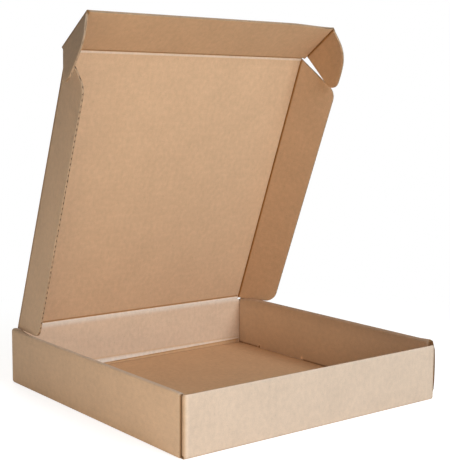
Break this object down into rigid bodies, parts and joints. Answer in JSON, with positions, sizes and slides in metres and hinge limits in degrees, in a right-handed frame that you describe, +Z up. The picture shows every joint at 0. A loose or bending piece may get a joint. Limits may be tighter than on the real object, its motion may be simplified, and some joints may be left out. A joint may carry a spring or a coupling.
{
  "type": "corrugated mailer box",
  "caption": "Open roll-end mailer box of brown corrugated board: square shallow tray with rolled side walls and a hinged lid with side flaps and an eared tuck flap.",
  "frame": {"origin": "middle of the underside of the base, on the surface the box stands on", "axes": "+X to the right as seen from the front, +Y to the back (the lid's hinge side), +Z up"},
  "size_m": [0.3493, 0.319, 0.3882],
  "materials": {
    "kraft_board": "matte brown kraft liner on corrugated board"
  },
  "bodies": {
    "tray": {"tray": "kraft_board"},
    "lid": {"lid": "kraft_board"},
    "front_flap": {"front_flap": "kraft_board"},
    "left_flap": {"left_flap": "kraft_board"},
    "right_flap": {"right_flap": "kraft_board"},
    "left_ear": {"left_ear": "kraft_board"},
    "right_ear": {"right_ear": "kraft_board"}
  },
  "joints": [
    {"name": "lid_hinge", "type": "hinge", "parent": "tray", "child": "lid", "pos_m": [0, 0.15825, 0.0615], "axis": [-1, 0, 0], "range_deg": [0, 111]},
    {"name": "front_flap_fold", "type": "hinge", "parent": "lid", "child": "front_flap", "pos_m": [0, 0.0459, 0.35418], "axis": [1, 0, 0], "range_deg": [-35, 4]},
    {"name": "left_flap_fold", "type": "hinge", "parent": "lid", "child": "left_flap", "pos_m": [-0.1517, 0.15825, 0.0615], "axis": [0, -0.3584, 0.9336], "range_deg": [-86, 4]},
    {"name": "right_flap_fold", "type": "hinge", "parent": "lid", "child": "right_flap", "pos_m": [0.1517, 0.15825, 0.0615], "axis": [0, 0.3584, -0.9336], "range_deg": [-66, 24]},
    {"name": "left_ear_fold", "type": "hinge", "parent": "front_flap", "child": "left_ear", "pos_m": [-0.1577, 0.0459, 0.35418], "axis": [0, -0.829, 0.5592], "range_deg": [-70, 20]},
    {"name": "right_ear_fold", "type": "hinge", "parent": "front_flap", "child": "right_ear", "pos_m": [0.1577, 0.0459, 0.35418], "axis": [0, 0.829, -0.5592], "range_deg": [-81, 9]}
  ]
}
